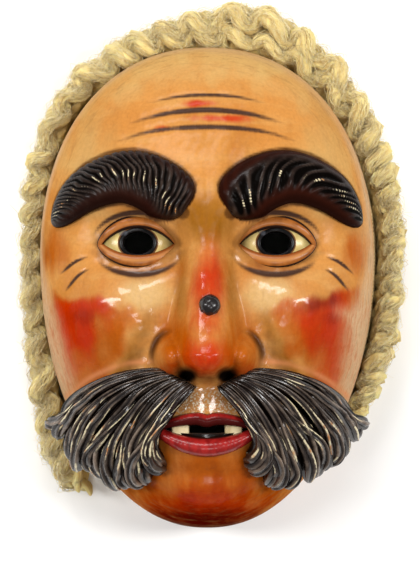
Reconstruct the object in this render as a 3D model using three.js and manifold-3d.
// A carved and painted wooden carnival mask with a band of curled wool round its edge.
// It lies on its back, face up. Millimetres: +X to the viewer's right, +Y to the top of the
// forehead, +Z out of the face. The sawn rim lies in the plane z = 0.

import * as THREE from "three";
import { mergeVertices } from "three/addons/utils/BufferGeometryUtils.js";
import Module from "manifold-3d";

const wasm = await Module();
wasm.setup();

// Driving sizes of the mask
const faceWidth = 176;
const faceHeight = 255;
const faceDepth = 86; // of the bare dome, without nose, brows and moustache
const wall = 9;
const widestAt = 25; // height over the rim where the face is widest
const drawIn = 5; // the side wall draws in this much from there down to the rim

// The oval is a full egg, wider above than below
const fullness = 2.2;
const domePower = 2.7;
const domeRoot = 2.1;
const halfWidth = faceWidth / 2;
const halfHeight = faceHeight / 2;

// The face is laid out by thirds from forehead edge to chin, and by five eye widths across
const third = faceHeight / 3;
const eyeWidth = faceWidth / 5 + 2;
const browLine = halfHeight - third;
const noseBase = halfHeight - 2 * third;
const eyeLine = browLine - 0.24 * third;
const mouthLine = noseBase - third / 3;
const eyeX = faceWidth / 5;

const eye = {
  rise: 9.5, // of the upper lid over the eye line, drop being that of the lower lid under it
  drop: 7,
  lidRound: 3.2,
  ballTop: 79,
  ballWide: 21,
  ballHigh: 17,
  ballDeep: 13,
  holeX: 7.6,
  holeY: 5.7,
};
const nose = {
  top: browLine - 2,
  tipY: noseBase + 9,
  under: 12,
  bridgeWide: 12,
  tipWide: 16,
  tipHeight: 29,
  wingX: 16,
  wingWide: 9.5,
  wingHeight: 17,
  sunk: 1.5,
};
const mouth = { width: 46, open: 7.5, toothWidth: 9, toothDeep: 6, toothX: 13.5 };
const wart = { x: 1.5, y: eyeLine - 31, radius: 5.4 };
const moustache = { locks: 9, rows: 8, fullness: 13, rootFullness: 5, groove: 0.42, notch: 0.11 };
const brow = { halfWide: 12.5, halfHigh: 7.5 };

// Wool band and its tape, in angles measured from straight up, clockwise in front view
const band = { from: -150, to: 124, run: 650, height: 27, low: 0.4, standOff: 2.1 };
const curl = { pitch: 17, depth: 1.8, rise: 0.8 };
const tape = { thickness: 1.1, standOff: 0.6, low: 3, high: 19 };

// Mesh fineness
const shellColumns = 26;
const shellRows = 36;
const hollowColumns = 16;
const hollowRows = 20;

const degrees = Math.PI / 180;
const lerp = THREE.MathUtils.lerp;
const clamp = THREE.MathUtils.clamp;
const smooth = (low, high, x) => THREE.MathUtils.smoothstep(x, low, high);
const bell = (x, y, rx, ry, power = 1) => Math.exp(-Math.pow((x / rx) ** 2 + (y / ry) ** 2, power));

function roundMax(a, b, radius) {
  const near = Math.max(radius - Math.abs(a - b), 0) / radius;
  return Math.max(a, b) + (near * near * radius) / 4;
}

// The egg-shaped dome

function eggTaper(up) {
  return 1 + 0.1 * up - 0.045 * up * up;
}

// A point of the face's oval, share 1 being its edge where the face is widest
function ovalPoint(cos, sin, share) {
  const round = Math.pow(Math.abs(cos) ** fullness + Math.abs(sin) ** fullness, -1 / fullness);
  const up = sin * round * share;
  return { x: halfWidth * eggTaper(up) * cos * round * share, y: halfHeight * up };
}

function ovalShare(x, y) {
  const up = y / halfHeight;
  const across = Math.abs(x) / (halfWidth * eggTaper(up));
  return Math.pow(Math.pow(across, fullness) + Math.pow(Math.abs(up), fullness), 1 / fullness);
}

function domeHeight(x, y) {
  const share = Math.min(ovalShare(x, y), 0.995);
  return widestAt + (faceDepth - widestAt) * Math.pow(1 - Math.pow(share, domePower), 1 / domeRoot);
}

// Even steps along the dome's section, from the middle out and down the side wall
function sectionTable(top, widest, low) {
  const steps = 400;
  const meanRadius = (halfWidth + halfHeight) / 2;
  const table = [{ run: 0, share: 0, height: top }];
  const add = (share, height) => {
    const last = table[table.length - 1];
    const run = last.run + Math.hypot((share - last.share) * meanRadius, (height - last.height) * 0.7);
    table.push({ run, share, height });
  };
  for (let i = 1; i <= steps; i++) {
    const angle = (i / steps) * (Math.PI / 2);
    const share = Math.pow(Math.sin(angle), 2 / domePower);
    add(share, widest + (top - widest) * Math.pow(Math.max(Math.cos(angle), 0), 2 / domeRoot));
  }
  add(1, low);
  return table;
}

function alongSection(table, part) {
  const run = part * table[table.length - 1].run;
  let i = 1;
  while (i < table.length - 1 && table[i].run < run) i++;
  const [a, b] = [table[i - 1], table[i]];
  const t = clamp((run - a.run) / (b.run - a.run), 0, 1);
  return { share: lerp(a.share, b.share, t), height: lerp(a.height, b.height, t) };
}

// A point of the square -1..1 by -1..1 goes to the disc, then out over the dome
function overDome(u, v, table) {
  const discX = u * Math.sqrt(1 - (v * v) / 2);
  const discY = v * Math.sqrt(1 - (u * u) / 2);
  const radius = Math.min(Math.hypot(discX, discY), 1);
  if (radius < 1e-9) return { x: 0, y: 0, z: table[0].height };
  const { share, height } = alongSection(table, radius);
  return { ...ovalPoint(discX / radius, discY / radius, share), z: height };
}

const wallInset = (z) => drawIn * clamp(1 - z / widestAt, 0, 1);

// The forms of the face, as heights over the dome

function softForms(x, y) {
  const side = Math.abs(x);
  const browRidge = 4 * bell(side - 34, y - browLine - 8, 34, 14, 1.4);
  const socket = -9 * bell(side - eyeX, y - eyeLine, 25, 16, 1.4);
  const noseRoot = 5 * bell(x, y - browLine + 10, 12, 22);
  const cheek = 7 * bell(side - 50, y + 14, 22, 22, 1.3);
  const muzzle = 8 * bell(x, y - mouthLine, 34, 22, 1.3);
  const chinCrease = -4 * bell(x, y - mouthLine + 24, 26, 6);
  const chin = 13 * bell(x, y + halfHeight - 24, 27, 19, 1.5);
  return browRidge + socket + noseRoot + cheek + muzzle + chinCrease + chin;
}

function outerHeight(x, y) {
  const dome = domeHeight(x, y);
  return dome + smooth(widestAt + 6, widestAt + 28, dome) * softForms(x, y);
}

function hollowForms(x, y) {
  const soft = softForms(x, y);
  const noseHollow = 17 * bell(x, y - noseBase - 14, 9, 17, 1.4);
  return Math.min(soft, 0) * 1.05 + Math.max(soft, 0) * 0.7 + noseHollow;
}

// Closed meshes

function solidOf(geometry) {
  const bare = geometry.clone();
  bare.deleteAttribute("normal");
  bare.deleteAttribute("uv");
  const merged = mergeVertices(bare, 1e-4);
  const mesh = new wasm.Mesh({
    numProp: 3,
    vertProperties: merged.attributes.position.array,
    triVerts: new Uint32Array(merged.index.array),
  });
  return new wasm.Manifold(mesh);
}

function geometryOf(solid) {
  const mesh = solid.getMesh();
  const geometry = new THREE.BufferGeometry();
  geometry.setAttribute("position", new THREE.BufferAttribute(mesh.vertProperties, 3));
  geometry.setIndex(new THREE.BufferAttribute(mesh.triVerts, 1));
  geometry.computeVertexNormals();
  return geometry;
}

// Rings of points that run anticlockwise about the way along, closed by a pole at each end
function closedTube(rings, firstPole, lastPole) {
  const sides = rings[0].length;
  const positions = [...rings.flat(), firstPole, lastPole].flatMap((p) => [p.x, p.y, p.z]);
  const [first, last] = [rings.length * sides, rings.length * sides + 1];
  const index = [];
  for (let k = 0; k < sides; k++) {
    const next = (k + 1) % sides;
    for (let i = 0; i + 1 < rings.length; i++) {
      const [a, b] = [i * sides + k, i * sides + next];
      index.push(a, b, a + sides, b, b + sides, a + sides);
    }
    const end = (rings.length - 1) * sides;
    index.push(first, next, k, last, end + k, end + next);
  }
  const geometry = new THREE.BufferGeometry();
  geometry.setAttribute("position", new THREE.Float32BufferAttribute(positions, 3));
  geometry.setIndex(index);
  return geometry;
}

// A domed sheet over the square, closed below by a fan to the middle of its flat underside
function domedSolid(columns, rows, place, floor) {
  const positions = [];
  const index = [];
  for (let j = 0; j <= rows; j++) {
    for (let i = 0; i <= columns; i++) {
      const p = place((2 * i) / columns - 1, (2 * j) / rows - 1);
      positions.push(p.x, p.y, p.z);
    }
  }
  const at = (i, j) => j * (columns + 1) + i;
  for (let j = 0; j < rows; j++) {
    for (let i = 0; i < columns; i++) {
      const [a, b, c, d] = [at(i, j), at(i + 1, j), at(i + 1, j + 1), at(i, j + 1)];
      const leansLeft = (i < columns / 2) === (j < rows / 2);
      if (leansLeft) index.push(a, b, d, b, c, d);
      else index.push(a, b, c, a, c, d);
    }
  }
  const loop = [];
  for (let i = 0; i < columns; i++) loop.push(at(i, 0));
  for (let j = 0; j < rows; j++) loop.push(at(columns, j));
  for (let i = columns; i > 0; i--) loop.push(at(i, rows));
  for (let j = rows; j > 0; j--) loop.push(at(0, j));
  const middle = positions.length / 3;
  positions.push(0, 0, floor);
  loop.forEach((corner, k) => index.push(corner, middle, loop[(k + 1) % loop.length]));
  const geometry = new THREE.BufferGeometry();
  geometry.setAttribute("position", new THREE.Float32BufferAttribute(positions, 3));
  geometry.setIndex(index);
  return geometry;
}

function outerSolid() {
  const table = sectionTable(faceDepth, widestAt, 0);
  return domedSolid(shellColumns, shellRows, (u, v) => {
    const p = overDome(u, v, table);
    const shrink = 1 - wallInset(p.z) / Math.max(Math.hypot(p.x, p.y), 1);
    const onFront = smooth(widestAt + 6, widestAt + 28, p.z);
    return { x: p.x * shrink, y: p.y * shrink, z: p.z + onFront * softForms(p.x, p.y) };
  }, 0);
}

function hollowSolid() {
  const below = -2;
  const table = sectionTable(faceDepth - wall, widestAt - 3, below);
  const [narrow, short] = [1 - (wall + 2) / halfWidth, 1 - (wall + 2) / halfHeight];
  return domedSolid(hollowColumns, hollowRows, (u, v) => {
    const p = overDome(u, v, table);
    const [x, y] = [p.x * narrow, p.y * short];
    return { x, y, z: p.z + smooth(widestAt, widestAt + 26, p.z) * hollowForms(x, y) };
  }, below);
}

// A closed slab between an upper and a lower sheet of points, columns by rows
function slab(columns, rows, upper, lower) {
  const positions = [];
  for (const sheet of [upper, lower]) {
    for (let j = 0; j <= rows; j++) {
      for (let i = 0; i <= columns; i++) positions.push(...sheet(i, j).toArray());
    }
  }
  const sheetSize = (columns + 1) * (rows + 1);
  const at = (i, j, sheet) => sheet * sheetSize + j * (columns + 1) + i;
  const index = [];
  const quad = (a, b, c, d) => index.push(a, b, c, a, c, d);
  for (let j = 0; j < rows; j++) {
    for (let i = 0; i < columns; i++) {
      quad(at(i, j, 0), at(i + 1, j, 0), at(i + 1, j + 1, 0), at(i, j + 1, 0));
      quad(at(i, j, 1), at(i, j + 1, 1), at(i + 1, j + 1, 1), at(i + 1, j, 1));
    }
    quad(at(0, j, 0), at(0, j + 1, 0), at(0, j + 1, 1), at(0, j, 1));
    quad(at(columns, j, 0), at(columns, j, 1), at(columns, j + 1, 1), at(columns, j + 1, 0));
  }
  for (let i = 0; i < columns; i++) {
    quad(at(i, 0, 0), at(i, 0, 1), at(i + 1, 0, 1), at(i + 1, 0, 0));
    quad(at(i, rows, 0), at(i + 1, rows, 0), at(i + 1, rows, 1), at(i, rows, 1));
  }
  const geometry = new THREE.BufferGeometry();
  geometry.setAttribute("position", new THREE.Float32BufferAttribute(positions, 3));
  geometry.setIndex(index);
  return geometry;
}

// A carved strand: an oval section swept along a curve that lies over the face
function strand(curve, stations, sides, halfWide, halfHigh) {
  const rings = [];
  const frontward = new THREE.Vector3(0, 0, 1);
  for (let i = 0; i <= stations; i++) {
    const even = i / stations;
    const t = lerp(even, (1 - Math.cos(Math.PI * even)) / 2, 0.6);
    const middle = curve.getPoint(t);
    const along = curve.getTangent(t);
    const sideways = frontward.clone().cross(along).normalize();
    const outward = along.clone().cross(sideways).normalize();
    const ring = [];
    for (let k = 0; k < sides; k++) {
      const angle = (k / sides) * 2 * Math.PI;
      const point = middle.clone().addScaledVector(sideways, Math.cos(angle) * halfWide(t, i));
      ring.push(point.addScaledVector(outward, Math.sin(angle) * halfHigh(t, i)));
    }
    rings.push(ring);
  }
  const pole = (t, sign) =>
    curve.getPoint(t).addScaledVector(curve.getTangent(t), sign * 0.45 * halfWide(t, t * stations));
  return closedTube(rings, pole(0, -1), pole(1, 1));
}

const roundEnds = (t) => Math.sqrt(Math.max(1 - Math.pow(Math.abs(2 * t - 1), 6), 0.04));

// A curve through points given across and up, laid on the face and lifted off it
function overFace(points, lift) {
  const placed = points.map(([x, y]) => new THREE.Vector3(x, y, outerHeight(x, y) + lift));
  return new THREE.CatmullRomCurve3(placed, false, "centripetal");
}

const bothSides = (make) => [make(1), make(-1)];

// Nose: one form swept down the middle of the face, with a round tip and a wing on each side

const hump = (x, reach) => Math.sqrt(Math.max(1 - (x / reach) ** 2, 0));
const noseDown = (y) => clamp((nose.top - y) / (nose.top - nose.tipY), 0, 1);

function noseRise(x, y) {
  const down = noseDown(y);
  const ridge = lerp(3, nose.tipHeight, Math.pow(down, 1.2));
  const waist = 2 * bell(down - 0.45, 0, 0.22, 1);
  const reach = lerp(nose.bridgeWide, nose.tipWide, smooth(0.3, 0.9, down)) - waist;
  const wingShare = 1 - smooth(nose.tipY, nose.tipY + 16, y);
  const wing = nose.wingHeight * wingShare * hump(Math.abs(x) - nose.wingX, nose.wingWide);
  return roundMax(ridge * Math.pow(hump(x, reach), 1.25), wing, 5);
}

function noseSolid() {
  const downStations = 11;
  const underStations = 4;
  const arch = 16;
  const rings = [];
  for (let i = 0; i <= downStations + underStations; i++) {
    const under = Math.max(i - downStations, 0) / (underStations + 0.3);
    const [cos, sin] = [Math.cos((under * Math.PI) / 2), Math.sin((under * Math.PI) / 2)];
    const y = lerp(nose.top, nose.tipY, Math.min(i / downStations, 1));
    const reach = lerp(nose.bridgeWide, nose.wingX + nose.wingWide, smooth(0.72, 0.95, noseDown(y)));
    const ringY = y - nose.under * sin;
    const face = outerHeight(0, ringY);
    const ring = [];
    for (let k = 0; k <= arch; k++) {
      const x = reach * Math.cos((Math.PI * k) / arch);
      const rise = noseRise(x, y) * lerp(0.3, 1, cos);
      ring.push(new THREE.Vector3(x * lerp(0.7, 1, cos), ringY, face - nose.sunk + rise));
    }
    ring.push(new THREE.Vector3(-0.6 * reach, ringY, face - 10));
    ring.push(new THREE.Vector3(0.6 * reach, ringY, face - 10));
    rings.push(ring);
  }
  const pole = (ring) => ring[arch / 2].clone().setZ(ring[0].z);
  return solidOf(closedTube(rings, pole(rings[0]), pole(rings[rings.length - 1])));
}

function ellipsoid(x, y, z, radiusX, radiusY, radiusZ, columns, rows) {
  const form = new THREE.SphereGeometry(1, columns, rows);
  form.scale(radiusX, radiusY, radiusZ);
  form.translate(x, y, z);
  return solidOf(form);
}

function nostril(side) {
  const form = new THREE.SphereGeometry(1, 10, 8);
  form.scale(4.2, 7, 6);
  form.rotateZ(side * 24 * degrees);
  form.translate(side * 9.5, nose.tipY - nose.under, outerHeight(0, noseBase) + 9);
  return solidOf(form);
}

// Moustache: each half is a fluted fan of locks that leaves the nose, arches over and droops

const moustacheRoots = [new THREE.Vector3(23, noseBase + 1, 0), new THREE.Vector3(5, noseBase - 8, 0)];
const moustacheTips = new THREE.CatmullRomCurve3(
  [
    [78, -66, 43],
    [80, -79, 40],
    [73, -92, 41],
    [61, -102, 45],
    [48, -104, 54],
    [36, -97, 66],
    [28, -86, 78],
  ].map(([x, y, z]) => new THREE.Vector3(x, y, z)),
);

// The fan's middle sheet: across goes from its upper edge to the mouth, along from root to tip
function fanPoint(across, along) {
  const root = moustacheRoots[0].clone().lerp(moustacheRoots[1], across);
  root.z = outerHeight(root.x, root.y) + 1;
  const tip = moustacheTips.getPoint(across);
  const reach = root.distanceTo(tip);
  const leave = new THREE.Vector3(lerp(0.42, 0.16, across), lerp(0.12, -0.16, across), 0);
  const arrive = new THREE.Vector3(-0.2, lerp(0.3, 0.36, across), 0);
  leave.multiplyScalar(reach);
  arrive.multiplyScalar(reach);
  leave.z = 4;
  arrive.z = 9;
  return new THREE.CubicBezierCurve3(root, leave.add(root), arrive.add(tip), tip).getPoint(along);
}

function moustacheHalf(side) {
  const perLock = 3;
  const columns = moustache.locks * perLock;
  const ridge = (i) => Math.sqrt(Math.sin((Math.PI * (i % perLock)) / perLock));
  const place = (i, j) => {
    const reach = 1 - moustache.notch * (1 - ridge(i));
    return fanPoint(i / columns, (reach * j) / moustache.rows);
  };
  const upper = (i, j) => {
    const along = j / moustache.rows;
    const swell = Math.sin((Math.PI * Math.min(along, 0.75)) / 1.5);
    const full = lerp(moustache.rootFullness, moustache.fullness, swell);
    const roundTip = Math.sqrt(1 - 0.8 * Math.pow(along, 6));
    const roundSides = Math.pow(Math.sin(Math.PI * lerp(0.06, 0.94, i / columns)), 0.35);
    const fluted = 1 - moustache.groove * (1 - ridge(i)) * lerp(0.4, 1, along);
    const point = place(i, j);
    point.z += full * roundTip * roundSides * fluted;
    return point;
  };
  const lower = (i, j) => {
    const point = place(i, j);
    const onFace = ovalShare(point.x, point.y) < 0.93;
    point.z = onFace ? Math.min(point.z - 3, outerHeight(point.x, point.y) - 2) : point.z - 4;
    return point;
  };
  const turned = (sheet) => (i, j) => {
    const point = sheet(side > 0 ? i : columns - i, j);
    point.x *= side;
    return point;
  };
  return solidOf(slab(columns, moustache.rows, turned(upper), turned(lower)));
}

// Eyebrow: a thick crescent, notched across by its carved hairs
function eyebrow(side) {
  const points = [
    [12, browLine - 4],
    [24, browLine + 9],
    [42, browLine + 15],
    [62, browLine + 9],
    [77, browLine - 9],
  ];
  const curve = overFace(points.map(([x, y]) => [side * x, y]), 0.5);
  const swell = (t) => Math.pow(Math.sin(Math.PI * clamp(0.14 + 0.79 * t, 0, 1)), 0.6);
  const notch = (i) => (Math.round(i) % 2 ? 0.86 : 1.04);
  const halfWide = (t) => brow.halfWide * swell(t);
  const halfHigh = (t, i) => brow.halfHigh * swell(t) * notch(i);
  return solidOf(strand(curve, 22, 8, halfWide, halfHigh));
}

// Eye: a ball in its socket, ringed by two lids and pierced at the iris

function ballHeight(x, y) {
  const fall = Math.min((x / eye.ballWide) ** 2 + (y / eye.ballHigh) ** 2, 0.96);
  return eye.ballTop - eye.ballDeep * (1 - Math.sqrt(1 - fall));
}

function eyeball(side) {
  const [x, y, z] = [side * eyeX, eyeLine, eye.ballTop - eye.ballDeep];
  return ellipsoid(x, y, z, eye.ballWide, eye.ballHigh, eye.ballDeep, 16, 10);
}

function eyelids(side) {
  const reach = eyeWidth / 2 + 1;
  const lid = (rise, lift) => {
    const points = [];
    for (let k = 0; k <= 8; k++) {
      const x = lerp(-reach, reach, k / 8);
      const y = rise * Math.pow(1 - (x / reach) ** 2, 0.75);
      points.push(new THREE.Vector3(side * eyeX + side * x, eyeLine + y, ballHeight(x, y) + lift));
    }
    return new THREE.CatmullRomCurve3(points);
  };
  const halfWide = (t) => eye.lidRound * Math.pow(Math.sin(Math.PI * lerp(0.08, 0.92, t)), 0.5);
  return [
    solidOf(strand(lid(eye.rise + 2, 0.6), 12, 6, halfWide, () => 0.94 * eye.lidRound)),
    solidOf(strand(lid(-eye.drop - 1.8, 0.2), 12, 6, halfWide, () => 0.78 * eye.lidRound)),
  ];
}

// A straight-sided hole with an oval outline, running along z
function ovalHole(x, y, radiusX, radiusY, low, high, points = 16) {
  const ring = (z) =>
    Array.from({ length: points }, (_, k) => {
      const angle = (k / points) * 2 * Math.PI;
      return new THREE.Vector3(x + Math.cos(angle) * radiusX, y + Math.sin(angle) * radiusY, z);
    });
  const [lowPole, highPole] = [new THREE.Vector3(x, y, low), new THREE.Vector3(x, y, high)];
  return solidOf(closedTube([ring(low), ring(high)], lowPole, highPole));
}

// Mouth: lips, a slot right through, and two teeth standing in it

function lip(rise, halfHigh, depth) {
  const reach = mouth.width / 2 + 4;
  const points = [];
  for (let k = -4; k <= 4; k++) {
    const x = (k / 4) * reach;
    points.push([x, mouthLine + rise * (1 - (x / reach) ** 2) - 0.9]);
  }
  const halfWide = (t) => halfHigh * Math.pow(Math.sin(Math.PI * lerp(0.06, 0.94, t)), 0.6);
  return solidOf(strand(overFace(points, 0.5), 14, 7, halfWide, (t) => depth * roundEnds(t)));
}

function tooth(side) {
  const box = new THREE.BoxGeometry(mouth.toothWidth, mouth.open + 6, mouth.toothDeep);
  const front = outerHeight(mouth.toothX, mouthLine);
  box.translate(side * mouth.toothX, mouthLine + 1, front - 4.5);
  return solidOf(box);
}

function carvedMask() {
  const wartHeight = outerHeight(wart.x, wart.y) + noseRise(wart.x, wart.y);
  const raised = [
    noseSolid(),
    ...bothSides(moustacheHalf),
    ...bothSides(eyebrow),
    ...bothSides(eyeball),
    ...bothSides(eyelids).flat(),
    lip(5.5, 3, 4.5),
    lip(-9.5, 4.4, 6.5),
    ellipsoid(wart.x, wart.y, wartHeight, wart.radius, wart.radius, wart.radius, 12, 8),
  ];
  const cut = [
    solidOf(hollowSolid()),
    ...bothSides((side) => ovalHole(side * eyeX, eyeLine + 0.6, eye.holeX, eye.holeY, 20, 100)),
    ...bothSides(nostril),
    ovalHole(0, mouthLine, mouth.width / 2, mouth.open / 2, 20, 110, 20),
  ];
  let mask = raised.reduce((whole, form) => whole.add(form), solidOf(outerSolid()));
  mask = cut.reduce((whole, form) => whole.subtract(form), mask);
  mask = bothSides(tooth).reduce((whole, form) => whole.add(form), mask);
  // specks of air caught between two forms are filled
  return mask.decompose().reduce((largest, body) => (body.volume() > largest.volume() ? body : largest));
}

// The side wall's outline at a height, pushed out square to itself
function wallPoint(angle, height, out) {
  const up = clamp((height - widestAt) / (faceDepth - widestAt), 0, 1);
  const share = Math.pow(1 - Math.pow(up, domeRoot), 1 / domePower);
  const at = (turn) => {
    const { x, y } = ovalPoint(Math.sin(turn * degrees), Math.cos(turn * degrees), share);
    return new THREE.Vector3(x, y, 0);
  };
  const point = at(angle);
  point.multiplyScalar(1 - wallInset(height) / point.length()).setZ(height);
  const along = at(angle + 0.5).sub(at(angle - 0.5)).normalize();
  return point.add(new THREE.Vector3(-along.y, along.x, 0).multiplyScalar(out));
}

function tapeSolid() {
  const rings = [];
  const stations = 52;
  for (let i = 0; i <= stations; i++) {
    const angle = lerp(band.from, band.to, i / stations);
    const outer = tape.standOff + tape.thickness;
    rings.push([
      wallPoint(angle, tape.low, tape.standOff),
      wallPoint(angle, tape.low, outer),
      wallPoint(angle, tape.high, outer),
      wallPoint(angle, tape.high, tape.standOff),
    ]);
  }
  const pole = (ring) => ring[0].clone().lerp(ring[2], 0.5);
  return closedTube(rings, pole(rings[0]), pole(rings[stations]));
}

// Wool: a lumpy sausage that is thin at the sides of the face and full over the forehead
function woolWidth(angle) {
  const overTop = Math.pow(Math.max(Math.cos((angle - 12) * 0.9 * degrees), 0), 2);
  return 11 + 9 * overTop + 4 * bell(angle - 28, 0, 14, 1);
}

// Squares off the round section where the wool lies against the wood
const boxy = (cos) => Math.sign(cos) * Math.pow(Math.abs(cos), 0.55);

function woolSolid() {
  const stations = 72;
  const sides = 8;
  const rings = [];
  for (let i = 0; i <= stations; i++) {
    const t = i / stations;
    const angle = lerp(band.from, band.to, t);
    const wave = Math.cos((t * band.run * 2 * Math.PI) / curl.pitch);
    const ends = roundEnds(t);
    const wide = (woolWidth(angle) + curl.depth * wave) * ends;
    const high = (band.height / 2 + curl.rise * wave) * ends;
    const ring = [];
    for (let k = 0; k < sides; k++) {
      const turn = (k / sides) * 2 * Math.PI;
      const out = band.standOff + wide * 0.5 * (1 - boxy(Math.cos(turn)));
      const height = band.height / 2 + 1 - high * Math.sin(turn);
      ring.push(wallPoint(angle, Math.max(height, band.low), out));
    }
    rings.push(ring);
  }
  const pole = (ring) => ring[0].clone().lerp(ring[sides / 2], 0.5);
  return closedTube(rings, pole(rings[0]), pole(rings[stations]));
}

// Assembly

function piece(name, geometry, colour, roughness) {
  const material = new THREE.MeshStandardMaterial({ color: colour, roughness, metalness: 0 });
  const mesh = new THREE.Mesh(geometry, material);
  mesh.name = name;
  return mesh;
}

const mask = new THREE.Group();
mask.add(
  piece("carved_mask", geometryOf(carvedMask()), 0xd08a45, 0.35),
  piece("wig_tape", tapeSolid(), 0x9a8a66, 0.9),
  piece("wool_wig", woolSolid(), 0xcdbf85, 0.95),
);

// The middle of the outer box stands over the origin
const middle = new THREE.Box3().setFromObject(mask, true).getCenter(new THREE.Vector3());
mask.position.set(-middle.x, -middle.y, 0);

export default mask;
